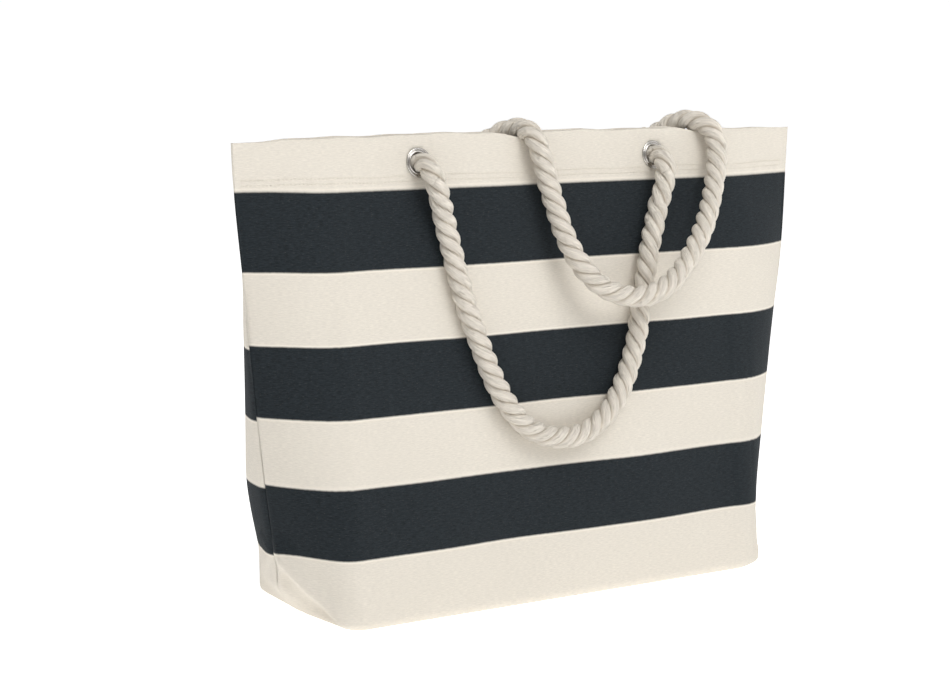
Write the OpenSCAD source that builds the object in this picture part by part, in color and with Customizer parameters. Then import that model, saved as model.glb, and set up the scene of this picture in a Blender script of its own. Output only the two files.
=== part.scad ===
// Striped canvas beach bag with two rope handles through eyelets.
// Origin: middle of the base, on the surface it stands on. +X runs along the bag,
// -Y is the front and +Z is up. Millimetres.

/* [Bag] */
// Height of the mouth above the ground
bag_h = 366; // [300:1:420]
// Half length of the base, up to the upright creases
crease_x = 202; // [150:1:240]
// Half depth of the base
base_half_d = 65; // [45:1:80]
// Cloth from an upright crease to the side seam
gusset_w = 70; // [66:1:84]
// Half gap of the mouth at the creases
mouth_half_d = 7; // [6:0.5:12]
// How far the walls belly out half way up
wall_belly = 6; // [0:0.5:12]
// Rounding of the bottom edge
base_round = 8; // [4:0.5:12]
// Thickness of the canvas
canvas_t = 1.2; // [0.8:0.1:1.6]
// How far the mouth drops at the side seams
corner_drop = 6; // [0:0.5:10]
// Depth of the hem turned in at the mouth
hem_h = 38; // [30:1:45]

/* [Eyelets] */
// Height of the eyelets' centres
eyelet_z = 345; // [340:1:348]
// Distance of each front eyelet from the middle
front_eyelet_x = 115; // [110:1:120]
// Distance of each back eyelet from the middle
back_eyelet_x = 95; // [90:1:96]
// Radius of the hole the rope goes through
eyelet_bore_r = 8; // [7.6:0.1:8.4]
// Outer radius of the flange
eyelet_flange_r = 11.5; // [10.5:0.1:13]

/* [Rope] */
// Diameter of the laid rope
rope_d = 17; // [14:0.5:17]
// Diameter of the rope where an eyelet squeezes it
rope_tail_d = 14.8; // [12:0.1:15]
// Diameter of the stopper knot
knot_d = 30; // [24:1:32]

/* [Hidden] */

$fn = 64;
ecru = [0.89, 0.86, 0.80];
cotton = [0.91, 0.88, 0.82];
nickel = [0.74, 0.73, 0.70];

crease_soft = 14;         // length of the soft bend on each side of a crease
side_steps = 4;           // spans of a gusset half
bend_steps = 4;           // spans of a crease's bend
wall_steps = 24;          // spans of the flat of a wall
gusset_settle = 40;       // height over which the base pulls the side seam in
hem_gap = 0.15;           // air between the canvas and its turned-in hem
hem_reach = 40;           // how far the hem strip runs past a crease
left_dip_x = -13;         // where the back handle presses the mouth down
right_dip_x = 162;
left_dip = 6;
right_dip = 3;
dip_reach = 24;
levels = [1, 0.97, 0.94, 0.9, 0.8, 0.68, 0.55, 0.42, 0.3, 0.2, 0.12, 0.07, 0.035, 0.014, 0.005, 0];

flange_t = 1.2;           // eyelet flange
barrel_wall = 0.7;        // eyelet barrel
washer_t = 0.8;
lip_t = 0.6;              // rolled end of the barrel
lip_r = eyelet_bore_r + 1.9;
seat_gap = 0.15;          // air between metal and cloth
hole_r = eyelet_bore_r + barrel_wall + 0.3;
stack_t = 2 * canvas_t + hem_gap;   // two plies of cloth
barrel_end = -(stack_t + 2 * seat_gap + washer_t + 0.1);

rope_sides = 10;
knot_lean = 10;           // sideways lean of a knot, so that both handles' knots have room

// Half depth of a wall at the share t of the height
function wall_d(t) = base_half_d * (1 - t) + mouth_half_d * t + 4 * wall_belly * t * (1 - t);
function rounding(z) = z >= base_round ? 0
    : base_round - sqrt(pow(base_round, 2) - pow(base_round - z, 2));
function ease(u) = let (c = min(1, max(0, u))) c * c * (3 - 2 * c);
function depth_at(t) = wall_d(t) - rounding(t * bag_h);
function crease_at(t) = crease_x - rounding(t * bag_h);
function seam_at(t) = crease_at(t)
    + sqrt(pow(gusset_w, 2) - pow(wall_d(t), 2)) * ease(0.25 + t * bag_h / gusset_settle);

function mix(a, b, u) = a + (b - a) * u;
function bend(a, b, c, u) = mix(mix(a, b, u), mix(b, c, u), u);

// Right half of the front outline at t, from the middle of the wall to the side seam
function half_outline(t) =
    let (
        c = [crease_at(t), -depth_at(t)],
        s = [seam_at(t), 0],
        a = c - [crease_soft, 0],
        b = mix(c, s, min(0.5, crease_soft / max(norm(s - c), 1)))
    )
    concat(
        [for (k = [0:wall_steps / 2 - 1]) mix([0, -depth_at(t)], a, k / (wall_steps / 2))],
        [for (k = [0:bend_steps]) bend(a, c, b, k / bend_steps)],
        [for (k = [1:side_steps]) mix(b, s, k / side_steps)]
    );
function outline(t) =
    let (h = half_outline(t), n = len(h))
    concat([for (k = [n - 1:-1:1]) [-h[k][0], h[k][1]]], h);

// Inward unit normal of a point of an outline
function inward(p, k) =
    let (d = p[min(k + 1, len(p) - 1)] - p[max(k - 1, 0)])
    [-d[1], d[0]] / norm(d);

// The outline moved inwards by q; its ends stay on the plane of the side seams
function inset_outline(t, q) =
    let (p = outline(t), n = len(p), e = inward(p, n - 1))
    [for (k = [0:n - 1])
        k == 0 ? [-(p[n - 1][0] - q / max(-e[0], 0.08)), 0]
        : k == n - 1 ? [p[n - 1][0] - q / max(-e[0], 0.08), 0]
        : p[k] + q * inward(p, k)];

// Share of the bag's height that the mouth has over the outline's point x: it drops at
// the side seams and dips under the back handle
function dip(x, at, depth) = depth * exp(-pow((x - at) / dip_reach, 2));
function mouth_share(x) = 1 - (corner_drop * ease((abs(x) - 130) / 140)
    + dip(x, left_dip_x, left_dip) + dip(x, right_dip_x, right_dip)) / bag_h;

// Ring of points at t, inset by q and never lower than floor_z
function ring(t, q, floor_z) =
    let (p = inset_outline(t, q))
    [for (v = p) [v[0], v[1], max(floor_z, t * bag_h * mouth_share(v[0]))]];

// Front half of the bag: two lofted skins closed by a rim, seam edges and two floors
module wall_shell() {
    rows = len(levels);
    cols = len(outline(1));
    outer = [for (t = levels) each ring(t, 0, 0)];
    inner = [for (k = [0:rows - 1])
        each ring(max(levels[k], 0.001 * (rows - k)), canvas_t, canvas_t + 0.01 * (rows - 1 - k))];
    o = 0;
    i = rows * cols;
    last = (rows - 1) * cols;
    faces = concat(
        [for (r = [0:rows - 2], c = [0:cols - 2])
            each [[o + r * cols + c, o + r * cols + c + 1, o + (r + 1) * cols + c + 1],
                  [o + r * cols + c, o + (r + 1) * cols + c + 1, o + (r + 1) * cols + c]]],
        [for (r = [0:rows - 2], c = [0:cols - 2])
            each [[i + r * cols + c, i + (r + 1) * cols + c + 1, i + r * cols + c + 1],
                  [i + r * cols + c, i + (r + 1) * cols + c, i + (r + 1) * cols + c + 1]]],
        [for (c = [0:cols - 2])
            each [[o + c, i + c, i + c + 1], [o + c, i + c + 1, o + c + 1]]],
        [for (r = [0:rows - 2])
            each [[o + r * cols, o + (r + 1) * cols, i + (r + 1) * cols],
                  [o + r * cols, i + (r + 1) * cols, i + r * cols]]],
        [for (r = [0:rows - 2], e = cols - 1)
            each [[o + r * cols + e, i + (r + 1) * cols + e, o + (r + 1) * cols + e],
                  [o + r * cols + e, i + r * cols + e, i + (r + 1) * cols + e]]],
        [[for (c = [0:cols - 1]) o + last + c]],
        [[for (c = [cols - 1:-1:0]) i + last + c]],
        [[o + last, o + last + cols - 1, i + last + cols - 1],
         [o + last, i + last + cols - 1, i + last]]
    );
    polyhedron(concat(outer, inner), faces, convexity = 10);
}

// Strip of cloth turned in behind the mouth of the front wall
module hem_strip() {
    q_out = canvas_t + hem_gap;
    q_in = q_out + canvas_t;
    low = 1 - hem_h / bag_h;
    shares = [1, (1 + low) / 2, low];
    all_x = outline(1);
    picks = [for (k = [0:len(all_x) - 1]) if (abs(all_x[k][0]) < crease_x + hem_reach) k];
    cols = len(picks);
    rows = len(shares);
    outer = [for (t = shares) let (p = ring(t, q_out, 0)) each [for (k = picks) p[k]]];
    inner = [for (t = shares) let (p = ring(t, q_in, 0)) each [for (k = picks) p[k]]];
    i = rows * cols;
    e = cols - 1;
    b = (rows - 1) * cols;
    faces = concat(
        [for (r = [0:rows - 2], c = [0:cols - 2])
            each [[r * cols + c, r * cols + c + 1, (r + 1) * cols + c + 1],
                  [r * cols + c, (r + 1) * cols + c + 1, (r + 1) * cols + c]]],
        [for (r = [0:rows - 2], c = [0:cols - 2])
            each [[i + r * cols + c, i + (r + 1) * cols + c + 1, i + r * cols + c + 1],
                  [i + r * cols + c, i + (r + 1) * cols + c, i + (r + 1) * cols + c + 1]]],
        [for (c = [0:cols - 2])
            each [[c, i + c, i + c + 1], [c, i + c + 1, c + 1],
                  [b + c, i + b + c + 1, i + b + c], [b + c, b + c + 1, i + b + c + 1]]],
        [for (r = [0:rows - 2])
            each [[r * cols, (r + 1) * cols, i + (r + 1) * cols],
                  [r * cols, i + (r + 1) * cols, i + r * cols],
                  [r * cols + e, i + (r + 1) * cols + e, (r + 1) * cols + e],
                  [r * cols + e, i + r * cols + e, i + (r + 1) * cols + e]]]
    );
    polyhedron(concat(outer, inner), faces, convexity = 10);
}

// Puts a child drawn along +Z, out of the cloth, at a front eyelet's seat
module at_seat(x) {
    t = eyelet_z / bag_h;
    slope = (wall_d(t - 0.01) - wall_d(t + 0.01)) / (0.02 * bag_h);
    translate([x, -wall_d(t), eyelet_z]) rotate([90 - atan(slope), 0, 0]) children();
}

module eyelet_holes(x) {
    for (s = [-1, 1])
        at_seat(s * x) translate([0, 0, -8]) cylinder(r = hole_r, h = 12);
}

// Flange, barrel and rolled lip in one pressing, drawn along +Z
module eyelet_ring() {
    r = eyelet_bore_r;
    b = r + barrel_wall;
    top = seat_gap + flange_t;
    rotate_extrude($fn = 64) polygon([
        [r, barrel_end - lip_t], [lip_r, barrel_end - lip_t], [lip_r, barrel_end],
        [b, barrel_end], [b, seat_gap], [eyelet_flange_r, seat_gap],
        [eyelet_flange_r, seat_gap + 0.4], [eyelet_flange_r - 0.8, top],
        [r + 0.5, top], [r, top - 0.4]
    ]);
}

module washer_ring() {
    translate([0, 0, -(stack_t + seat_gap + washer_t)])
        difference() {
            cylinder(r = eyelet_flange_r, h = washer_t);
            translate([0, 0, -1]) cylinder(r = hole_r, h = washer_t + 2);
        }
}

// Unit direction of a route at point k
function heading(p, k) =
    let (d = p[min(k + 1, len(p) - 1)] - p[max(k - 1, 0)]) d / norm(d);

// Frame of a ring: a side vector and its partner, carried along from a fixed guess
function side_of(h, guess) = let (s = guess - (guess * h) * h) s / norm(s);
function sides(p, guess, k = 0, prev = undef) =
    k == len(p) ? [] :
    let (s = side_of(heading(p, k), k == 0 ? guess : prev))
    concat([s], sides(p, guess, k + 1, s));

// A tube along the route p, with the radius r[k] at each point
module tube(p, r, guess = [0.3, 1, 0.2]) {
    s = sides(p, guess);
    n = rope_sides;
    m = len(p);
    points = [for (k = [0:m - 1])
        let (h = heading(p, k), u = s[k], v = cross(h, u))
        each [for (a = [0:n - 1]) p[k] + r[k] * (cos(360 * a / n) * u + sin(360 * a / n) * v)]];
    faces = concat(
        [for (k = [0:m - 2], a = [0:n - 1])
            let (b = (a + 1) % n)
            each [[k * n + a, (k + 1) * n + b, k * n + b],
                  [k * n + a, (k + 1) * n + a, (k + 1) * n + b]]],
        [[for (a = [0:n - 1]) a]],
        [[for (a = [n - 1:-1:0]) (m - 1) * n + a]]
    );
    polyhedron(points, faces, convexity = 10);
}

// The free stretch of each handle, from swing axis to swing axis
front_route = [
    [-115, -22, 345], [-111, -24, 332], [-106, -27, 315], [-102, -31, 298], [-98, -34, 280],
    [-94, -39, 257], [-88, -43, 234], [-81, -47, 213], [-73, -50, 192], [-64, -53, 172],
    [-52, -56, 154], [-36, -58, 139], [-14, -60, 131], [12, -60, 131], [35, -59, 142],
    [52, -56, 159], [65, -52, 180], [74, -49, 202], [79, -46, 220], [84, -43, 238],
    [89, -40, 256], [95, -36, 274], [101, -33, 290], [107, -30, 306], [112, -26, 322],
    [115, -24, 334], [115, -22, 345]
];
back_route = [
    [-95, 22, 345], [-82, 22.5, 347.5], [-68, 23.5, 350.5], [-54, 25, 353], [-40, 24.5, 356],
    [-28, 21.5, 361], [-20, 16, 367], [-14, 8, 370], [-11, 0, 371], [-11, -9, 369.5],
    [-11, -17, 365], [-9, -21, 356], [-6, -25, 341], [-3, -28, 326], [0, -33, 310],
    [3, -39, 293], [8, -45, 277], [16, -51, 262], [28, -57, 249], [44, -61, 241],
    [62, -64, 238], [81, -65, 241], [98, -63, 249], [115, -58, 261], [130, -53, 276],
    [143, -47, 291], [154, -40, 307], [163, -33, 322], [170, -27, 338], [173, -22, 355],
    [171, -17.5, 366.5], [167, -9, 372.5], [163, 0, 374], [158, 9, 372.5], [151, 18, 366.5],
    [143, 22.5, 360], [131, 23.5, 355.5], [119, 23, 351.5], [107, 22.5, 348], [95, 22, 345]
];

// A rope end drawn for a front eyelet at x = 0: through the bore, then down inside
tail_route = [
    [0, -13.2, 345.4], [0, -8, 344.3], [0, -4.4, 342.6], [0, -1.9, 339.2],
    [0, -1, 334], [0, 0, 322], [0, 0, 308], [0, 0, 296]
];

// lean moves the knot sideways, so that the knots of both handles have room
module rope_end(lean) {
    n = len(tail_route);
    route = [for (v = tail_route)
        [lean * ease((340 - v[2]) / 44), v[1], v[2]]];
    union() {
        tube(route, [for (k = [1:n]) rope_tail_d / 2]);
        translate([lean, 0, 292]) sphere(d = knot_d, $fn = 48);
    }
}

module front_panel() {
    color(ecru) difference() {
        wall_shell();
        eyelet_holes(front_eyelet_x);
    }
}
module back_panel() {
    color(ecru) difference() {
        mirror([0, 1, 0]) wall_shell();
        mirror([0, 1, 0]) eyelet_holes(back_eyelet_x);
    }
}
module front_hem() {
    color(ecru) difference() {
        hem_strip();
        eyelet_holes(front_eyelet_x);
    }
}
module back_hem() {
    color(ecru) difference() {
        mirror([0, 1, 0]) hem_strip();
        mirror([0, 1, 0]) eyelet_holes(back_eyelet_x);
    }
}
module front_left_eyelet() { color(nickel) at_seat(-front_eyelet_x) eyelet_ring(); }
module front_right_eyelet() { color(nickel) at_seat(front_eyelet_x) eyelet_ring(); }
module back_left_eyelet() {
    color(nickel) mirror([0, 1, 0]) at_seat(-back_eyelet_x) eyelet_ring();
}
module back_right_eyelet() {
    color(nickel) mirror([0, 1, 0]) at_seat(back_eyelet_x) eyelet_ring();
}
module front_left_washer() { color(nickel) at_seat(-front_eyelet_x) washer_ring(); }
module front_right_washer() { color(nickel) at_seat(front_eyelet_x) washer_ring(); }
module back_left_washer() {
    color(nickel) mirror([0, 1, 0]) at_seat(-back_eyelet_x) washer_ring();
}
module back_right_washer() {
    color(nickel) mirror([0, 1, 0]) at_seat(back_eyelet_x) washer_ring();
}
module front_rope() {
    color(cotton) tube(front_route, [for (v = front_route) rope_d / 2]);
}
module back_rope() {
    color(cotton) tube(back_route, [for (v = back_route) rope_d / 2]);
}
module front_left_rope_end() {
    color(cotton) translate([-front_eyelet_x, 0, 0]) rope_end(-knot_lean);
}
module front_right_rope_end() {
    color(cotton) translate([front_eyelet_x, 0, 0]) rope_end(knot_lean);
}
module back_left_rope_end() {
    color(cotton) mirror([0, 1, 0]) translate([-back_eyelet_x, 0, 0]) rope_end(knot_lean);
}
module back_right_rope_end() {
    color(cotton) mirror([0, 1, 0]) translate([back_eyelet_x, 0, 0]) rope_end(-knot_lean);
}

front_panel();
back_panel();
front_hem();
back_hem();
front_left_eyelet();
front_right_eyelet();
back_left_eyelet();
back_right_eyelet();
front_left_washer();
front_right_washer();
back_left_washer();
back_right_washer();
front_rope();
back_rope();
front_left_rope_end();
front_right_rope_end();
back_left_rope_end();
back_right_rope_end();
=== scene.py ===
import math

import bmesh
import bpy
import numpy as np
from mathutils import Matrix, Vector


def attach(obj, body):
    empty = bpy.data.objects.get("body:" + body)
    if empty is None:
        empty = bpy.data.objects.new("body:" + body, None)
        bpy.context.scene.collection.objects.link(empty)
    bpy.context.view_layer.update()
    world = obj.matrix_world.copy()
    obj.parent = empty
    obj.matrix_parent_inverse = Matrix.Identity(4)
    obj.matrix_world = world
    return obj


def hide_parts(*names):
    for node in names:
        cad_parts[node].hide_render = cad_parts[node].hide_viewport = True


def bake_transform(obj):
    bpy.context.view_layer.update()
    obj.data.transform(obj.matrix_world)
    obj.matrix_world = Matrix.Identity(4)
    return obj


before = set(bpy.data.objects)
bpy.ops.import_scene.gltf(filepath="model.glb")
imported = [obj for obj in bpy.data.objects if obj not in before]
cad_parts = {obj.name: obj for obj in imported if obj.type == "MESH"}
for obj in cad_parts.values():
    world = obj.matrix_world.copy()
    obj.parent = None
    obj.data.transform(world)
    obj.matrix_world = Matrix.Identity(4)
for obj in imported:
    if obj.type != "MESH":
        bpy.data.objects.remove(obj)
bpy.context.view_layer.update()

bl_info = {
    "name": "Striped Beach Bag",
    "version": (1, 0, 0),
    "blender": (4, 5, 0),
    "location": "View3D > Sidebar > Beach Bag",
    "description": "Builds a striped canvas beach bag with rope handles",
    "category": "Add Mesh",
}

MM = 0.001

# Sizes in millimetres. They are those of the solids, but for the back half, which is 12 deeper at the base.
BAG_HEIGHT = 366.0
CREASE_X = 202.0
BASE_HALF_DEPTH = {"front": 65.0, "back": 77.0}
GUSSET = 70.0
MOUTH_HALF_DEPTH = 7.0
BELLY = 6.0
BASE_ROUND = 8.0
CREASE_SOFT = 14.0
SETTLE = 40.0
CORNER_DROP = 2.5
HEM = 38.0
EYELET_Z = 345.0
EYELET_X = {"front": 115.0, "back": 95.0}
HOLE_R = 9.7
STITCH_ROWS = (331.7, 335.6)
STRIPES = [(54.0, 107.0), (158.0, 212.0), (266.3, 325.8)]
ROPE = 17.0
ROPE_IN_EYELET = 14.8
KNOT_Z = 292.0

CAMERA_PLACE = (-1.132, -1.5256, 0.5037)
CAMERA_YAW, CAMERA_PITCH, CAMERA_ROLL = math.radians(35.35), math.radians(9.40), -0.0255
CAMERA_LENS = 90.95
LIGHT_AIM = (0, 0, 0.18)
LIGHTS = (  # name, place, size and power
    ("key light", (0.15, -1.6, 1.95), 1.4, 13),
    ("fill light", (2.2, -1.9, 1.7), 2.2, 5.5),
    ("back light", (-0.4, 2.3, 2.1), 2.0, 14),
    ("top light", (0.0, -0.8, 1.7), 1.3, 10),
)
WORLD_LIGHT = 0.40

# Lines of the handles from eyelet to eyelet, as the solids have them.
FRONT_ROUTE = [
    (-115, -22, 345), (-111, -24, 332), (-106, -27, 315), (-102, -31, 298), (-98, -34, 280),
    (-94, -39, 257), (-88, -43, 234), (-81, -47, 213), (-73, -50, 192), (-64, -53, 172),
    (-52, -56, 154), (-36, -58, 139), (-14, -60, 131), (12, -60, 131), (35, -59, 142),
    (52, -56, 159), (65, -52, 180), (74, -49, 202), (79, -46, 220), (84, -43, 238),
    (89, -40, 256), (95, -36, 274), (101, -33, 290), (107, -30, 306), (112, -26, 322),
    (115, -24, 334), (115, -22, 345),
]
BACK_ROUTE = [
    (-95, 22, 345), (-82, 22.5, 347.5), (-68, 23.5, 350.5), (-54, 25, 353), (-40, 24.5, 356),
    (-28, 21.5, 361), (-20, 16, 367), (-14, 8, 370), (-11, 0, 371), (-11, -9, 369.5),
    (-11, -17, 365), (-9, -21, 356), (-6, -25, 341), (-3, -28, 326), (0, -33, 310),
    (3, -39, 293), (8, -45, 277), (16, -51, 262), (28, -57, 249), (44, -61, 241),
    (62, -64, 238), (81, -65, 241), (98, -63, 249), (115, -58, 261), (130, -53, 276),
    (143, -47, 291), (154, -40, 307), (163, -33, 322), (170, -27, 338), (173, -22, 355),
    (171, -17.5, 366.5), (167, -9, 372.5), (163, 0, 374), (158, 9, 372.5), (151, 18, 366.5),
    (143, 22.5, 360), (131, 23.5, 355.5), (119, 23, 351.5), (107, 22.5, 348), (95, 22, 345),
]
# Where the laid rope leaves those lines: the front rope's elbows and the back rope's two ways over the mouth.
FRONT_LEFT_ELBOW = [
    (-115, -20.5, 345.2), (-114.5, -26, 342), (-112.5, -30, 334.5), (-110, -31.5, 325), (-106, -31, 313),
]
FRONT_RIGHT_ELBOW = [
    (107.5, -31, 309), (111, -31.5, 321), (113.5, -30, 333), (115, -26, 341.5), (115, -20.5, 345.2),
]
BACK_LEFT_WAY = [
    (-82, 22.3, 348), (-68, 22.8, 350.5), (-54, 23.3, 352.5), (-40, 23.3, 353.5), (-28, 21.8, 357),
    (-20, 16.5, 363), (-14, 8.5, 367), (-11, 0, 368), (-11, -9, 367), (-10.5, -17, 363),
]
BACK_RIGHT_WAY = [
    (171, -17.5, 364.5), (167, -9, 370), (163, 0, 371.5), (158, 9, 370), (151, 18, 364), (143, 22.5, 357.5),
]
# A rope end's line from its eyelet down inside the bag, as (y, z) for the front.
TAIL_ROUTE = [(-13.2, 345.4), (-8, 344.3), (-4.4, 342.6), (-1.9, 339.2), (-1, 334), (0, 322), (0, 312)]


# ---------------------------------------------------------------- settings


class BagSizes(bpy.types.PropertyGroup):
    cloth: bpy.props.FloatProperty(
        name="Canvas thickness", description="Thickness of one ply of canvas",
        default=1.2 * MM, min=0.6 * MM, max=2 * MM, unit="LENGTH")
    grid: bpy.props.FloatProperty(
        name="Canvas mesh", description="Spacing of the canvas mesh",
        default=3.4 * MM, min=2.5 * MM, max=12 * MM, unit="LENGTH")
    stitch: bpy.props.FloatProperty(
        name="Stitch pitch", description="Distance from one hem stitch to the next",
        default=3.2 * MM, min=2 * MM, max=6 * MM, unit="LENGTH")
    strand_radius: bpy.props.FloatProperty(
        name="Strand radius", description="Radius of one of the rope's three strands",
        default=4.15 * MM, min=3 * MM, max=5 * MM, unit="LENGTH")
    strand_offset: bpy.props.FloatProperty(
        name="Strand offset", description="Distance of a strand's middle from the rope's middle",
        default=4.55 * MM, min=3 * MM, max=5 * MM, unit="LENGTH")
    lay: bpy.props.FloatProperty(
        name="Lay length", description="Length in which a strand goes once round the rope",
        default=37 * MM, min=20 * MM, max=80 * MM, unit="LENGTH")


class BagColours(bpy.types.PropertyGroup):
    ecru: bpy.props.FloatVectorProperty(
        name="Ecru canvas", description="Colour of the undyed cotton", subtype="COLOR",
        size=3, min=0, max=1, default=(0.80, 0.745, 0.655))
    charcoal: bpy.props.FloatVectorProperty(
        name="Charcoal stripe", description="Colour of the dyed stripes", subtype="COLOR",
        size=3, min=0, max=1, default=(0.013, 0.017, 0.020))
    rope: bpy.props.FloatVectorProperty(
        name="Cotton rope", description="Colour of the handles", subtype="COLOR",
        size=3, min=0, max=1, default=(0.92, 0.85, 0.745))
    metal: bpy.props.FloatVectorProperty(
        name="Eyelet metal", description="Colour of the nickel plating", subtype="COLOR",
        size=3, min=0, max=1, default=(0.62, 0.60, 0.57))


# ---------------------------------------------------------------- materials


class Finish:
    """A new material and short ways to add and join its nodes."""

    def __init__(self, name):
        self.material = bpy.data.materials.new(name)
        self.material.use_nodes = True
        self.tree = self.material.node_tree
        self.shader = self.tree.nodes["Principled BSDF"]

    def node(self, kind, inputs=None, **settings):
        node = self.tree.nodes.new(kind)
        for key, value in settings.items():
            setattr(node, key, value)
        for key, value in (inputs or {}).items():
            if isinstance(value, bpy.types.NodeSocket):
                self.tree.links.new(value, node.inputs[key])
            else:
                node.inputs[key].default_value = value
        return node

    def math(self, how, a, b=0.0):
        return self.node("ShaderNodeMath", {0: a, 1: b}, operation=how).outputs[0]

    def noise(self, vector, scale, detail=3.0, roughness=0.55):
        return self.node("ShaderNodeTexNoise", {
            "Vector": vector, "Scale": scale, "Detail": detail, "Roughness": roughness,
        }).outputs["Fac"]

    def stretch(self, vector, scale, turn=0.0):
        return self.node("ShaderNodeMapping", {
            "Vector": vector, "Scale": scale, "Rotation": (0, 0, turn)}).outputs["Vector"]

    def ramp(self, value, stops):
        ramp = self.node("ShaderNodeValToRGB", {"Fac": value})
        points = ramp.color_ramp.elements
        while len(points) > 1:
            points.remove(points[-1])
        points[0].position = stops[0][0]
        points[0].color = stops[0][1]
        for place, colour in stops[1:]:
            points.new(place).color = colour
        return ramp.outputs["Color"]

    def mix(self, share, a, b):
        node = self.tree.nodes.new("ShaderNodeMix")
        node.data_type = "RGBA"
        for key, value in ((0, share), (6, a), (7, b)):
            if isinstance(value, bpy.types.NodeSocket):
                self.tree.links.new(value, node.inputs[key])
            else:
                node.inputs[key].default_value = value
        return node.outputs[2]

    def join(self, socket, value):
        if isinstance(value, bpy.types.NodeSocket):
            self.tree.links.new(value, self.shader.inputs[socket])
        else:
            self.shader.inputs[socket].default_value = value

    def bump(self, height, distance, strength=1.0, after=None):
        inputs = {"Height": height, "Distance": distance, "Strength": strength}
        if after is not None:
            inputs["Normal"] = after
        return self.node("ShaderNodeBump", inputs).outputs["Normal"]


def rgba(colour, gain=1.0):
    return (colour[0] * gain, colour[1] * gain, colour[2] * gain, 1.0)


def grey(value):
    return (value, value, value, 1.0)


def cloth_coordinates(finish):
    """The cloth's own map: x along the weft and y up the warp, in metres."""
    return finish.node("ShaderNodeUVMap", uv_map="cloth").outputs["UV"]


def weave_height(finish, cloth, weft=0.00085, warp=0.00075):
    """Height of a plain weave, 0 to 1: bumps of the two thread directions in a chequer."""
    parts = finish.node("ShaderNodeSeparateXYZ", {0: cloth})
    across = finish.math("MULTIPLY", parts.outputs["X"], math.pi / warp)
    up = finish.math("MULTIPLY", parts.outputs["Y"], math.pi / weft)
    a, b = finish.math("SINE", across), finish.math("SINE", up)
    product = finish.math("MULTIPLY", a, b)
    over = finish.math("ABSOLUTE", a)
    under = finish.math("ABSOLUTE", b)
    first = finish.math("MULTIPLY", finish.math("MAXIMUM", product, 0.0), over)
    opposite = finish.math("MULTIPLY", product, -1.0)
    second = finish.math("MULTIPLY", finish.math("MAXIMUM", opposite, 0.0), under)
    return finish.math("ADD", first, second)


def make_canvas(colours, striped):
    finish = Finish("striped canvas" if striped else "plain canvas")
    cloth = cloth_coordinates(finish)
    slub = finish.noise(finish.stretch(cloth, (240, 1900, 1)), 1.0, 4.0, 0.6)
    warp_slub = finish.noise(finish.stretch(cloth, (1300, 120, 1)), 1.0, 3.0, 0.6)
    cloudy = finish.noise(finish.stretch(cloth, (14, 14, 1)), 1.0, 3.0, 0.5)
    mottle = finish.noise(finish.stretch(cloth, (150, 620, 1)), 1.0, 4.0, 0.7)
    flecks = finish.noise(finish.stretch(cloth, (420, 1900, 1)), 1.0, 2.0, 0.5)
    ecru = finish.mix(finish.ramp(slub, [(0.32, grey(0)), (0.68, grey(1))]),
                      rgba(colours.ecru, 0.84), rgba(colours.ecru, 1.06))
    ecru = finish.mix(finish.ramp(warp_slub, [(0.35, grey(0)), (0.7, grey(0.45))]),
                      ecru, rgba(colours.ecru, 0.93))
    ecru = finish.mix(finish.ramp(cloudy, [(0.4, grey(0)), (0.75, grey(0.35))]),
                      ecru, rgba(colours.ecru, 0.92))
    ecru = finish.mix(finish.ramp(mottle, [(0.45, grey(0)), (0.75, grey(0.5))]),
                      ecru, rgba(colours.ecru, 0.86))
    if striped:
        dark = finish.mix(finish.ramp(slub, [(0.35, grey(0)), (0.75, grey(1))]),
                          rgba(colours.charcoal, 0.62), rgba(colours.charcoal, 2.1))
        dark = finish.mix(finish.ramp(mottle, [(0.42, grey(0)), (0.72, grey(0.5))]),
                          dark, rgba(colours.charcoal, 2.1))
        dark = finish.mix(finish.ramp(flecks, [(0.62, grey(0)), (0.8, grey(0.3))]),
                          dark, rgba(colours.ecru, 0.22))
        height = finish.node("ShaderNodeSeparateXYZ", {0: cloth}).outputs["Y"]
        wobble = finish.noise(finish.stretch(cloth, (260, 40, 1)), 1.0, 3.0, 0.6)
        wobble = finish.math("MULTIPLY", finish.math("SUBTRACT", wobble, 0.5), 0.0005)
        place = finish.math("DIVIDE", finish.math("ADD", height, wobble), BAG_HEIGHT * MM)
        soft = 0.22 / BAG_HEIGHT
        stops = [(0.0, grey(0))]
        for low, high in STRIPES:
            stops += [(low / BAG_HEIGHT - soft, grey(0)), (low / BAG_HEIGHT + soft, grey(1)),
                      (high / BAG_HEIGHT - soft, grey(1)), (high / BAG_HEIGHT + soft, grey(0))]
        selvedge = [(0.0, grey(0))]
        for low, high in STRIPES:
            for a, b in ((low - 1.5, low - 0.3), (high + 0.3, high + 1.5)):
                selvedge += [(a / BAG_HEIGHT - soft, grey(0)), (a / BAG_HEIGHT + soft, grey(0.8)),
                             (b / BAG_HEIGHT, grey(0.8)), (b / BAG_HEIGHT + soft, grey(0))]
        ecru = finish.mix(finish.ramp(place, selvedge), ecru, rgba(colours.ecru, 1.14))
        colour = finish.mix(finish.ramp(place, stops), ecru, dark)
    else:
        colour = ecru
    finish.join("Base Color", colour)
    finish.join("Roughness", finish.ramp(slub, [(0.3, grey(0.82)), (0.7, grey(0.95))]))
    finish.join("Specular IOR Level", 0.15)
    finish.join("Sheen Weight", 0.04)
    finish.join("Sheen Roughness", 0.5)
    weave = finish.bump(weave_height(finish, cloth), 0.00022, 0.8)
    threads = finish.bump(slub, 0.00016, 0.7, weave)
    finish.join("Normal", finish.bump(cloudy, 0.0012, 0.4, threads))
    return finish.material


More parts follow.
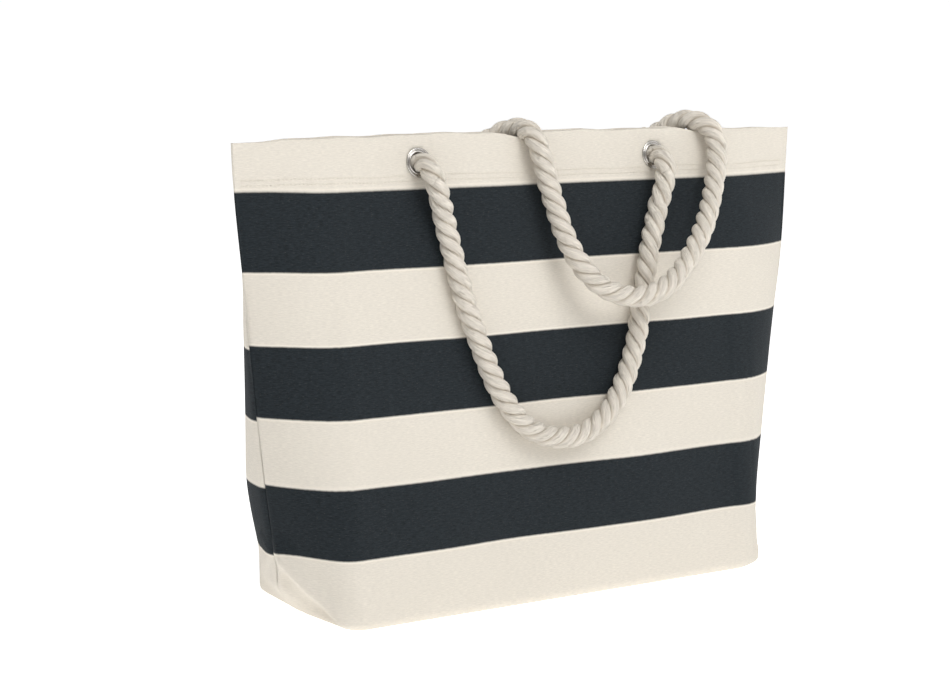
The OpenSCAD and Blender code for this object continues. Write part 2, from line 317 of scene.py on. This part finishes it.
def make_thread(colours):
    finish = Finish("hem thread")
    place = finish.node("ShaderNodeTexCoord").outputs["Object"]
    twist = finish.noise(finish.stretch(place, (900, 3200, 3200)), 1.0, 2.0)
    finish.join("Base Color", finish.mix(twist, rgba(colours.ecru, 0.78), rgba(colours.ecru, 1.08)))
    finish.join("Roughness", 0.8)
    finish.join("Normal", finish.bump(twist, 0.0002, 0.6))
    return finish.material


def make_rope(colours):
    finish = Finish("cotton rope")
    strand = finish.node("ShaderNodeUVMap", uv_map="strand").outputs["UV"]
    round_and_along = finish.stretch(strand, (0.025, 1, 1))
    skewed = finish.stretch(round_and_along, (1, 1, 1), 0.30)
    fibres = finish.noise(finish.stretch(skewed, (2100, 130, 1)), 1.0, 4.0, 0.65)
    yarns = finish.noise(finish.stretch(skewed, (820, 60, 1)), 1.0, 3.0, 0.6)
    stray = finish.noise(finish.stretch(round_and_along, (900, 420, 1)), 1.0, 3.0, 0.7)
    colour = finish.mix(finish.ramp(fibres, [(0.32, grey(0)), (0.66, grey(1))]),
                        rgba(colours.rope, 0.86), rgba(colours.rope, 1.08))
    colour = finish.mix(finish.ramp(yarns, [(0.38, grey(0.75)), (0.56, grey(0))]),
                        colour, rgba(colours.rope, 0.84))
    around = finish.node("ShaderNodeSeparateXYZ", {0: strand}).outputs["X"]
    # Painted shade: the inner side of each strand, where the strands meet in the grooves, is mixed towards a darker,
    # yellower rope colour.
    groove = finish.ramp(around, [(0.17, grey(0)), (0.30, grey(0.6)), (0.70, grey(0.6)), (0.83, grey(0))])
    painted_groove_shade = (colours.rope[0] * 0.62, colours.rope[1] * 0.55, colours.rope[2] * 0.46, 1)
    colour = finish.mix(groove, colour, painted_groove_shade)
    finish.join("Base Color", colour)
    finish.join("Roughness", finish.ramp(fibres, [(0.3, grey(0.85)), (0.7, grey(0.97))]))
    finish.join("Specular IOR Level", 0.15)
    finish.join("Sheen Weight", 0.2)
    finish.join("Sheen Roughness", 0.45)
    rough = finish.bump(yarns, 0.0030, 1.0)
    rough = finish.bump(fibres, 0.0008, 1.0, rough)
    finish.join("Normal", finish.bump(stray, 0.0005, 0.6, rough))
    return finish.material


def make_metal(colours):
    finish = Finish("nickel plating")
    place = finish.node("ShaderNodeTexCoord").outputs["Object"]
    scratches = finish.noise(finish.stretch(place, (2600, 300, 900)), 1.0, 4.0, 0.6)
    smudges = finish.noise(finish.stretch(place, (160, 160, 160)), 1.0, 3.0, 0.6)
    finish.join("Base Color", finish.mix(smudges, rgba(colours.metal, 0.96), rgba(colours.metal, 1.04)))
    finish.join("Metallic", 1.0)
    finish.join("Roughness", finish.ramp(scratches, [(0.3, grey(0.14)), (0.7, grey(0.24))]))
    finish.join("Normal", finish.bump(scratches, 0.00002, 0.4))
    return finish.material


def make_floor():
    finish = Finish("floor")
    place = finish.node("ShaderNodeTexCoord").outputs["Object"]
    grain = finish.noise(finish.stretch(place, (30, 30, 30)), 1.0, 2.0)
    finish.join("Base Color", finish.mix(grain, (0.93, 0.93, 0.93, 1), (0.95, 0.95, 0.95, 1)))
    finish.join("Roughness", 0.9)
    finish.join("Specular IOR Level", 0.1)
    finish.join("Emission Color", (1, 1, 1, 1))
    finish.join("Emission Strength", 0.64)
    return finish.material


# ---------------------------------------------------------------- shapes of the bag


def ease(u):
    u = min(1.0, max(0.0, u))
    return u * u * (3 - 2 * u)


def mix(a, b, u):
    return a + (b - a) * u


def hump(x, middle, reach):
    return math.exp(-((x - middle) / reach) ** 2)


def rounding(z):
    if z >= BASE_ROUND:
        return 0.0
    return BASE_ROUND - math.sqrt(BASE_ROUND ** 2 - (BASE_ROUND - max(z, 0.0)) ** 2)


def wall_depth(side, t):
    return BASE_HALF_DEPTH[side] * (1 - t) + MOUTH_HALF_DEPTH * t + 4 * BELLY * t * (1 - t)


def seam_reach(t):
    """How far the side seam stands outside the upright creases; slack cloth lets it sink in."""
    full = math.sqrt(GUSSET ** 2 - wall_depth("front", t) ** 2)
    sunk = 1.5 * ease(t / 0.12) * ease((1 - t) / 0.4)
    return (full - sunk) * ease(0.25 + t * BAG_HEIGHT / SETTLE)


def seam_shift(side, t):
    """How far the side seam is pulled towards the front, in the half's own depth."""
    pull = 7.0 * ease(t / 0.15) * ease((1 - t) / 0.35)
    return -pull if side == "front" else pull


def outline_point(side_name, q, t):
    """A point of one half's outline at height share t, q millimetres of cloth from the middle."""
    side = 1.0 if q >= 0 else -1.0
    q = abs(q)
    z = t * BAG_HEIGHT
    depth = wall_depth(side_name, t) - rounding(z)
    corner = np.array((CREASE_X - rounding(z), -depth))
    seam = np.array((corner[0] + seam_reach(t), seam_shift(side_name, t)))
    before = corner - (CREASE_SOFT, 0.0)
    share = min(0.5, CREASE_SOFT / max(np.linalg.norm(seam - corner), 1.0))
    after = mix(corner, seam, share)
    flat = CREASE_X - CREASE_SOFT
    if q <= flat:
        p = mix(np.array((0.0, -depth)), before, q / flat)
    elif q <= flat + 2 * CREASE_SOFT:
        u = (q - flat) / (2 * CREASE_SOFT)
        p = mix(mix(before, corner, u), mix(corner, after, u), u)
    else:
        p = mix(after, seam, (q - flat - 2 * CREASE_SOFT) / (GUSSET - CREASE_SOFT))
    return np.array((side * p[0], p[1]))


def outline_normal(side, q, t):
    """Outward unit normal of an outline."""
    limit = CREASE_X + GUSSET
    a, b = outline_point(side, max(q - 2, -limit), t), outline_point(side, min(q + 2, limit), t)
    d = b - a
    return np.array((d[1], -d[0])) / max(np.linalg.norm(d), 1e-6)


def mouth_share(x):
    return 1 - (CORNER_DROP * ease((abs(x) - 130) / 140)
                + 3.5 * hump(x, -12, 17) + 2.5 * hump(x, 163, 17)) / BAG_HEIGHT


def eyelet_distance(side, x, z):
    return min(math.hypot(x - s * EYELET_X[side], z - EYELET_Z) for s in (-1, 1))


def fullness(side, q, z):
    """How far the cloth stands out of its plain loft, in millimetres: slack, ridges and puckers."""
    limit = CREASE_X + GUSSET
    turn = 0.0 if side == "front" else 2.1
    body = ease(z / 60) * ease((BAG_HEIGHT - z) / 70) * ease((limit - abs(q)) / 30)
    slack = (1.5 * math.sin(q / 47 + turn) * math.sin(z / 71 + 0.6 + turn)
             + 1.0 * math.sin(q / 29 - z / 95 + 1.3 * turn)
             + 0.5 * math.sin(q / 17 + z / 33 + turn))
    out = body * slack * (0.55 if abs(q) > CREASE_X - 20 else 1.0)
    crease = hump(abs(q), CREASE_X, 9) * (0.5 + 0.5 * math.sin(z / 37 + q)) * body
    out += 0.8 * crease
    along = (abs(q) - CREASE_X) / GUSSET
    if along > -0.2:
        bow = 15.0 if side == "back" else 5.0
        bow *= math.sin(math.pi * min(max(along, 0.0), 1.0))
        out += bow * ease((z - 2) / 115) * ease((BAG_HEIGHT - z) / 140)
        away = (z - 56 * along) * math.cos(math.atan(56 / GUSSET))
        fold = hump(away, 0, 9.0) if away > 0 else hump(away, 0, 4.0)
        out += ((6.5 if side == "front" else 1.5) * fold
                * ease((along + 0.12) / 0.3) * ease((1.0 - along) / 0.15) * ease(z / 5))
        out -= ((4.5 if side == "front" else 0.5) * hump(away, -12, 8)
                * ease(along / 0.3) * ease((1.0 - along) / 0.2) * ease(z / 12))
        if q < 0:
            knee = abs(abs(q) - (limit - 13)) * 1.1 + (z - 66)
            out += 1.6 * hump(knee, 0, 2.2) * hump(abs(q), limit - 13, 11)
    hem_line = hump(z, BAG_HEIGHT - HEM + 2, 4)
    out -= 0.35 * hem_line
    out += 0.22 * hem_line * math.sin(q / 2.4) + 0.18 * hem_line * math.sin(q / 3.7 + 1)
    out -= 2.6 * hump(abs(q), limit, 3.0)
    return out


def cloth_point(side, q, t, inset, drop):
    """A point of the cloth of one half of the bag: q along it, t up it, inset from its face."""
    p = outline_point(side, q, t)
    z = t * BAG_HEIGHT
    stand = fullness(side, q, z)
    rise = mouth_share(p[0])
    calm = ease((eyelet_distance(side, p[0], z * rise) - 14) / 16)
    p = p + outline_normal(side, q, t) * (stand * calm - inset)
    p[1] = min(p[1], seam_shift(side, t) - 0.12)
    edge = 0.5 * math.sin(p[0] / 19.0) + 0.35 * math.sin(p[0] / 7.3 + 1.0)
    z = z * rise + edge * ease((z - 300) / 60) * calm - drop
    return Vector((p[0], p[1] if side == "front" else -p[1], z)) * MM


def row_list(part):
    """Rows of one cloth piece from its lowest edge up: (height share, inset, drop, share to the base seam)."""
    fold, half = 0.675, 0.6
    if part == "hem":
        rows = [(1 - (HEM - k) / BAG_HEIGHT, half + 2 * fold, 0.6, 1.0) for k in np.arange(0, HEM - 1.5, 3.3)]
        return rows + [(1, half + 2 * fold, 0.6 + fold, 1.0), (1, half + 1.7 * fold, 0.8, 1.0),
                       (1, half + fold, 0.6, 1.0)]
    floor = [(0, half, 0, k) for k in np.linspace(0, 1, 15)[:-1]]
    foot = [(z / BAG_HEIGHT, half, 0, 1.0) for z in (0, 0.2, 0.6, 1.2, 2, 3.1, 4.6, 6.4, 8.4)]
    wall = [(z / BAG_HEIGHT, half, 0, 1.0) for z in np.linspace(11.5, BAG_HEIGHT - 4, 104)]
    top = [(1, half, 0.6 + fold, 1.0), (1, half + 0.3 * fold, 0.8, 1.0), (1, half + fold, 0.6, 1.0)]
    return floor + foot + wall + top


def new_object(name, mesh_maker, material, smooth=True):
    mesh = bpy.data.meshes.new(name)
    bm = bmesh.new()
    mesh_maker(bm)
    bm.to_mesh(mesh)
    bm.free()
    if smooth:
        mesh.shade_smooth()
    mesh.materials.append(material)
    piece = bpy.data.objects.new(name, mesh)
    bpy.context.scene.collection.objects.link(piece)
    return piece


def lay_cloth(bm, side, part, pitch):
    """A grid laid over one half of the bag, with the eyelets' holes cut in it."""
    rows = row_list(part)
    limit = CREASE_X + GUSSET - (0 if part == "wall" else 31)
    columns = int(round(2 * limit / pitch))
    uv = bm.loops.layers.uv.new("cloth")
    bmesh.ops.create_grid(bm, x_segments=columns, y_segments=len(rows) - 1, size=1)
    where = {}
    for v in bm.verts:
        q = limit * v.co.x * (1.25 - 0.25 * v.co.x ** 2)
        place = (v.co.y + 1) / 2 * (len(rows) - 1)
        low = min(int(place + 1e-4), len(rows) - 2)
        t, inset, drop, reach = (mix(a, b, place - low) for a, b in zip(rows[low], rows[low + 1]))
        way = q if side == "front" else -q
        p = cloth_point(side, way, t, inset, drop)
        p.y *= reach
        p.z = max(p.z, 0.6 * MM)
        height = p.z / MM - (1 - reach) * BASE_HALF_DEPTH[side]
        shift = 1.6 * ease((-way - CREASE_X + 10) / 60)
        height += -shift if side == "front" else shift
        where[v] = (way, height)
        v.co = p
    for face in bm.faces:
        for loop in face.loops:
            way, height = where[loop.vert]
            loop[uv].uv = (way * MM, height * MM)
    inside = []
    for v in bm.verts:
        if v.co.z > 0.3:
            d = eyelet_distance(side, v.co.x / MM, v.co.z / MM)
            if d < 7.2:
                inside.append(v)
    bmesh.ops.delete(bm, geom=inside, context="VERTS")
    for v in bm.verts:
        if v.co.z > 0.3 and v.is_boundary:
            x, z = v.co.x / MM, v.co.z / MM
            d = eyelet_distance(side, x, z)
            if d < 12.5:
                hole = EYELET_X[side] * (1 if x > 0 else -1)
                v.co.x = (hole + (x - hole) * HOLE_R / d) * MM
                v.co.z = (EYELET_Z + (z - EYELET_Z) * HOLE_R / d) * MM


def stitch_line(bm, side, heights, pitch):
    """Short raised stitches along the hem, each a small drop of thread."""
    limit = CREASE_X + GUSSET - 6
    for height in heights:
        count = int(2 * limit / pitch)
        for k in range(count):
            q = -limit + (k + 0.5) * pitch
            t = height / (BAG_HEIGHT * mouth_share(outline_point(side, q, height / BAG_HEIGHT)[0]))
            here = cloth_point(side, q, t, -0.12, 0.0)
            there = cloth_point(side, q + 1, t, -0.12, 0.0)
            if eyelet_distance(side, here.x / MM, here.z / MM) < 13:
                continue
            along = (there - here).normalized()
            up = Vector((0, 0, 1))
            out = along.cross(up).normalized()
            turn = Matrix((along, out, up)).transposed().to_4x4()
            size = Matrix.Diagonal((pitch * 0.40, 0.42, 0.34, 1)) @ Matrix.Scale(MM, 4)
            bmesh.ops.create_uvsphere(
                bm, u_segments=6, v_segments=4, radius=1,
                matrix=Matrix.Translation(here) @ turn @ size @ Matrix.Rotation(math.pi / 2, 4, "Y"))


# ---------------------------------------------------------------- shapes of the rope


def smooth_line(points, step):
    """A smooth line through the points, resampled at even steps, in millimetres."""
    p = np.array(points, float)
    p = np.vstack([2 * p[0] - p[1], p, 2 * p[-1] - p[-2]])
    line = []
    for k in range(1, len(p) - 2):
        for u in np.linspace(0, 1, 24, endpoint=False):
            a, b, c, d = p[k - 1], p[k], p[k + 1], p[k + 2]
            line.append(0.5 * (2 * b + (c - a) * u + (2 * a - 5 * b + 4 * c - d) * u ** 2
                               + (3 * b - a - 3 * c + d) * u ** 3))
    line.append(p[-2])
    line = np.array(line)
    for _ in range(60):
        line[1:-1] = (line[:-2] + 2 * line[1:-1] + line[2:]) / 4
    far = np.concatenate([[0], np.cumsum(np.linalg.norm(np.diff(line, axis=0), axis=1))])
    s = np.linspace(0, far[-1], int(far[-1] / step) + 1)
    return s, np.stack([np.interp(s, far, line[:, k]) for k in range(3)], 1)


def carried_frames(line):
    """Tangent and two carried side vectors at each point of a line."""
    tangent = np.gradient(line, axis=0)
    tangent /= np.linalg.norm(tangent, axis=1)[:, None]
    side = np.cross(tangent[0], (0.31, 0.12, 0.94))
    sides = []
    for t in tangent:
        side = side - t * (side @ t)
        side /= np.linalg.norm(side)
        sides.append(side.copy())
    sides = np.array(sides)
    return tangent, sides, np.cross(tangent, sides)


def strand_middles(s, line, girth, sizes):
    """The middle line of each strand and the two directions across it, along the whole rope."""
    tangent, u, v = carried_frames(line)
    strands = []
    for strand in range(3):
        turn = -2 * math.pi * s * MM / sizes.lay + 2 * math.pi * strand / 3
        spoke = np.cos(turn)[:, None] * u + np.sin(turn)[:, None] * v
        middle = line + spoke * (sizes.strand_offset / MM * girth)[:, None]
        way = np.gradient(middle, axis=0)
        way /= np.linalg.norm(way, axis=1)[:, None]
        out = spoke - way * np.sum(spoke * way, axis=1)[:, None]
        out /= np.linalg.norm(out, axis=1)[:, None]
        strands.append((middle, out, np.cross(way, out)))
    return strands


def lay_rope(bm, s, line, girth, sizes, strands=None, part=None, around=14):
    """Three strands laid round a line. girth is the share of the full diameter at each point."""
    strands = strands or strand_middles(s, line, girth, sizes)
    part = part or slice(0, len(s))
    s, girth = s[part], girth[part]
    uv = bm.loops.layers.uv.get("strand") or bm.loops.layers.uv.new("strand")
    radius = sizes.strand_radius / MM
    for number, strand in enumerate(strands):
        middle, out, across = (x[part] for x in strand)
        before = set(bm.verts)
        bmesh.ops.create_grid(bm, x_segments=around, y_segments=len(s) - 1, size=1)
        fresh = [x for x in bm.verts if x not in before]
        where = {}
        for vert in fresh:
            a = (vert.co.x + 1) / 2
            k = min(int(round((vert.co.y + 1) / 2 * (len(s) - 1))), len(s) - 1)
            angle = 2 * math.pi * a
            puff = 1 + 0.03 * math.sin(s[k] / 4.1 + 2 * number) * math.cos(angle)
            r = radius * girth[k] * puff
            p = middle[k] + out[k] * (r * math.cos(angle)) + across[k] * (r * math.sin(angle))
            where[vert] = (a, s[k] * MM)
            vert.co = Vector(p) * MM
        for face in {f for x in fresh for f in x.link_faces}:
            for loop in face.loops:
                loop[uv].uv = where[loop.vert]
        bmesh.ops.remove_doubles(bm, verts=fresh, dist=1e-7)
    bmesh.ops.holes_fill(bm, edges=[e for e in bm.edges if e.is_boundary], sides=0)
    bmesh.ops.recalc_face_normals(bm, faces=bm.faces)


def handle_line(side):
    """The whole line of a handle from one stopper knot to the other, and the marks on it."""
    x0, inward, lean = (EYELET_X[side], 1, -10) if side == "front" else (EYELET_X[side], -1, 10)

    def tail(x, lean):
        return [(x + lean * ease((340 - z) / 44), inward * y, z) for y, z in TAIL_ROUTE]

    if side == "front":
        route = FRONT_LEFT_ELBOW + FRONT_ROUTE[3:-3] + FRONT_RIGHT_ELBOW
    else:
        route = BACK_ROUTE[:1] + BACK_LEFT_WAY + BACK_ROUTE[11:30] + BACK_RIGHT_WAY + BACK_ROUTE[36:]
    points = tail(-x0, lean)[::-1] + route + tail(x0, -lean)
    s, line = smooth_line(points, 1.7)
    hinge = [int(np.argmin(np.linalg.norm(line - np.array(p, float), axis=1))) for p in (route[0], route[-1])]
    return s, line, hinge


# ---------------------------------------------------------------- operators


class BAG_OT_camera(bpy.types.Operator):
    """Adds the camera"""
    bl_idname = "bag.camera"
    bl_label = "Camera"

    def execute(self, context):
        flat = math.cos(CAMERA_PITCH)
        forward = Vector((math.sin(CAMERA_YAW) * flat, math.cos(CAMERA_YAW) * flat, -math.sin(CAMERA_PITCH)))
        level = Vector((math.cos(CAMERA_YAW), -math.sin(CAMERA_YAW), 0))
        upright = level.cross(forward)
        right = math.cos(CAMERA_ROLL) * level - math.sin(CAMERA_ROLL) * upright
        up = math.sin(CAMERA_ROLL) * level + math.cos(CAMERA_ROLL) * upright
        data = bpy.data.cameras.new("camera")
        data.sensor_width = 36
        data.lens = CAMERA_LENS
        data.clip_end = 50
        camera = bpy.data.objects.new("camera", data)
        context.scene.collection.objects.link(camera)
        camera.matrix_world = Matrix.Translation(CAMERA_PLACE) @ Matrix(
            (right, up, -forward)).transposed().to_4x4()
        context.scene.camera = camera
        return {"FINISHED"}


class BAG_OT_handles(bpy.types.Operator):
    """Lays the two rope handles, their bends at the eyelets and their knotted ends"""
    bl_idname = "bag.handles"
    bl_label = "Rope handles"

    def execute(self, context):
        sizes, cotton = context.scene.bag_sizes, make_rope(context.scene.bag_colours)
        for side in ("front", "back"):
            s, line, hinge = handle_line(side)
            bend = int(18 / (s[1] - s[0]))
            bore = int(8.5 / (s[1] - s[0]))
            squeeze = np.array([mix(ROPE_IN_EYELET / ROPE, 1.0, ease((min(k - hinge[0], hinge[1] - k) * 1.7 + 6) / 14))
                                for k in range(len(s))])
            whole = strand_middles(s, line, squeeze, sizes)
            cuts = [0, hinge[0] - bore, hinge[0] + bend, hinge[1] - bend, hinge[1] + bore, len(s) - 1]
            names = ["left_rope_end", "left_rope_bend", "rope", "right_rope_bend", "right_rope_end"]
            for name, a, b in zip(names, cuts, cuts[1:]):
                part = slice(a, b + 1)

                def build(bm):
                    lay_rope(bm, s, line, squeeze, sizes, whole, part)
                    if name.endswith("rope_end"):
                        tie_knot(bm, side, line[0] if a == 0 else line[-1], sizes)

                piece = new_object(f"{side}_{name}_laid", build, cotton)
                if name == "rope":
                    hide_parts(f"{side}_rope")
                    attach(piece, f"{side}_handle")
                elif name.endswith("rope_end"):
                    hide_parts(f"{side}_{name}")
                    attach(piece, "bag")
                else:
                    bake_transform(piece)
        return {"FINISHED"}


def tie_knot(bm, side, end, sizes):
    """An overhand stopper knot and the short stub below it."""
    middle = np.array((end[0], end[1], KNOT_Z))
    a = np.linspace(0, 2 * math.pi, 61)
    loop = np.stack([np.sin(a) + 2 * np.sin(2 * a), np.sin(3 * a) * 1.3, np.cos(a) - 2 * np.cos(2 * a)], 1)
    line = middle + loop * 3.0
    far = np.concatenate([[0], np.cumsum(np.linalg.norm(np.diff(line, axis=0), axis=1))])
    lay_rope(bm, far, line, np.full(len(a), 0.66), sizes, around=10)
    stub = np.array([middle + (0, 0, -z) for z in np.linspace(4, 19, 9)])
    lay_rope(bm, np.linspace(0, 15, 9), stub, np.full(9, 0.7), sizes, around=10)


class BAG_OT_canvas(bpy.types.Operator):
    """Lays the striped canvas of the front and the back"""
    bl_idname = "bag.canvas"
    bl_label = "Striped canvas"

    def execute(self, context):
        sizes, cloth = context.scene.bag_sizes, make_canvas(context.scene.bag_colours, True)
        for side in ("front", "back"):
            piece = new_object(f"{side}_canvas", lambda bm: lay_cloth(bm, side, "wall", mesh_pitch(sizes)), cloth)
            thicken(piece, sizes.cloth)
            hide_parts(f"{side}_panel")
            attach(piece, "bag")
        return {"FINISHED"}


def mesh_pitch(sizes):
    return (sizes.grid) / MM


def thicken(piece, thickness):
    solid = piece.modifiers.new("cloth thickness", "SOLIDIFY")
    solid.thickness = thickness
    solid.offset = 0
    solid.use_even_offset = False


class BAG_OT_hems(bpy.types.Operator):
    """Turns in the hems at the mouth"""
    bl_idname = "bag.hems"
    bl_label = "Turned-in hems"

    def execute(self, context):
        sizes, cloth = context.scene.bag_sizes, make_canvas(context.scene.bag_colours, False)
        for side in ("front", "back"):
            piece = new_object(f"{side}_hem_turned_in",
                               lambda bm: lay_cloth(bm, side, "hem", mesh_pitch(sizes)), cloth)
            for face in piece.data.polygons:
                face.flip()
            thicken(piece, sizes.cloth)
            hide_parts(f"{side}_hem")
            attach(piece, "bag")
        return {"FINISHED"}


class BAG_OT_stitches(bpy.types.Operator):
    """Sews the two rows of stitches along the hems"""
    bl_idname = "bag.stitches"
    bl_label = "Hem stitches"

    def execute(self, context):
        sizes, thread = context.scene.bag_sizes, make_thread(context.scene.bag_colours)
        for side in ("front", "back"):
            piece = new_object(f"{side}_hem_stitches",
                               lambda bm: stitch_line(bm, side, STITCH_ROWS, sizes.stitch / MM), thread)
            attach(piece, "bag")
        return {"FINISHED"}


class BAG_OT_eyelets(bpy.types.Operator):
    """Rolls the four eyelets and plates them and their washers"""
    bl_idname = "bag.eyelets"
    bl_label = "Eyelets and washers"

    def execute(self, context):
        metal = make_metal(context.scene.bag_colours)
        for side in ("front", "back"):
            for hand, way in (("left", -1), ("right", 1)):
                piece = new_object(f"{side}_{hand}_eyelet_rolled",
                                   lambda bm: roll_eyelet(bm, side, way * EYELET_X[side]), metal)
                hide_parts(f"{side}_{hand}_eyelet")
                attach(piece, "bag")
        for name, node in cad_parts.items():
            if name.endswith("washer"):
                if not node.material_slots:
                    node.data.materials.append(metal)
                for slot in node.material_slots:
                    slot.material = metal
        return {"FINISHED"}


def bead(middle_r, middle_z, radius, steps=8):
    """Half a round bead of a spun profile, from its inner foot over its top to its outer foot."""
    return [(middle_r - radius * math.cos(math.pi * k / steps), middle_z + radius * math.sin(math.pi * k / steps))
            for k in range(steps + 1)]


def roll_eyelet(bm, side, x):
    """An eyelet with a rolled inner lip, a groove and a rolled rim, its barrel and its turned end."""
    profile = [(8.0, -4.9), (8.0, 0.5), *bead(8.75, 0.65, 0.75), (9.6, 0.35), (10.1, 0.35),
               *bead(10.8, 0.45, 0.7), (11.5, 0.16), (8.72, 0.16), (8.72, -4.1), (9.9, -4.1), (9.9, -4.9)]
    corners = [bm.verts.new((r, 0, z)) for r, z in profile]
    rim = [bm.edges.new(pair) for pair in zip(corners, corners[1:] + corners[:1])]
    bmesh.ops.spin(bm, geom=corners + rim, cent=(0, 0, 0), axis=(0, 0, 1), angle=2 * math.pi,
                   steps=72, use_merge=True)
    bmesh.ops.remove_doubles(bm, verts=bm.verts, dist=1e-5)
    bmesh.ops.recalc_face_normals(bm, faces=bm.faces)
    t = EYELET_Z / BAG_HEIGHT
    slope = (wall_depth("front", t - 0.01) - wall_depth("front", t + 0.01)) / (0.02 * BAG_HEIGHT)
    flip = -1 if side == "front" else 1
    lean = Matrix.Rotation(-flip * (math.pi / 2 - math.atan(slope)), 4, "X")
    place = Matrix.Translation(Vector((x, flip * wall_depth("front", t), EYELET_Z)) * MM)
    bmesh.ops.transform(bm, matrix=place @ lean @ Matrix.Scale(MM, 4), verts=bm.verts)


class BAG_OT_stage(bpy.types.Operator):
    """Adds the pale floor, the soft lights and the world"""
    bl_idname = "bag.stage"
    bl_label = "Stage"

    def execute(self, context):
        floor = new_object("floor", lambda bm: bmesh.ops.create_grid(bm, x_segments=4, y_segments=4, size=30),
                           make_floor(), smooth=False)
        for name, place, size, power in LIGHTS:
            data = bpy.data.lights.new(name, "AREA")
            data.shape = "DISK"
            data.size = size
            data.energy = power
            light = bpy.data.objects.new(name, data)
            context.scene.collection.objects.link(light)
            aim = Vector(LIGHT_AIM) - Vector(place)
            light.matrix_world = Matrix.Translation(place) @ aim.to_track_quat("-Z", "Y").to_matrix().to_4x4()
        world = context.scene.world or bpy.data.worlds.new("world")
        context.scene.world = world
        context.scene.view_settings.view_transform = "Standard"
        world.use_nodes = True
        background = world.node_tree.nodes["Background"]
        background.inputs["Color"].default_value = (1, 1, 1, 1)
        background.inputs["Strength"].default_value = WORLD_LIGHT
        return {"FINISHED"}


class BAG_PT_panel(bpy.types.Panel):
    """Lists the steps that build the beach bag"""
    bl_idname = "BAG_PT_panel"
    bl_label = "Beach Bag"
    bl_space_type = "VIEW_3D"
    bl_region_type = "UI"
    bl_category = "Beach Bag"

    def draw(self, context):
        for group in (context.scene.bag_sizes, context.scene.bag_colours):
            box = self.layout.box()
            for name in group.bl_rna.properties.keys():
                if name not in ("rna_type", "name"):
                    box.prop(group, name)
        for step in STEPS:
            self.layout.operator(step.bl_idname)


STEPS = (BAG_OT_camera, BAG_OT_handles, BAG_OT_canvas, BAG_OT_hems, BAG_OT_stitches,
         BAG_OT_eyelets, BAG_OT_stage)
CLASSES = (BagSizes, BagColours, *STEPS, BAG_PT_panel)


def register():
    for kind in CLASSES:
        bpy.utils.register_class(kind)
    bpy.types.Scene.bag_sizes = bpy.props.PointerProperty(type=BagSizes)
    bpy.types.Scene.bag_colours = bpy.props.PointerProperty(type=BagColours)


def unregister():
    del bpy.types.Scene.bag_colours
    del bpy.types.Scene.bag_sizes
    for kind in reversed(CLASSES):
        bpy.utils.unregister_class(kind)


def main():
    register()
    bpy.ops.bag.camera()
    bpy.ops.bag.handles()
    bpy.ops.bag.canvas()
    bpy.ops.bag.hems()
    bpy.ops.bag.stitches()
    bpy.ops.bag.eyelets()
    bpy.ops.bag.stage()


if __name__ == "__main__":
    main()
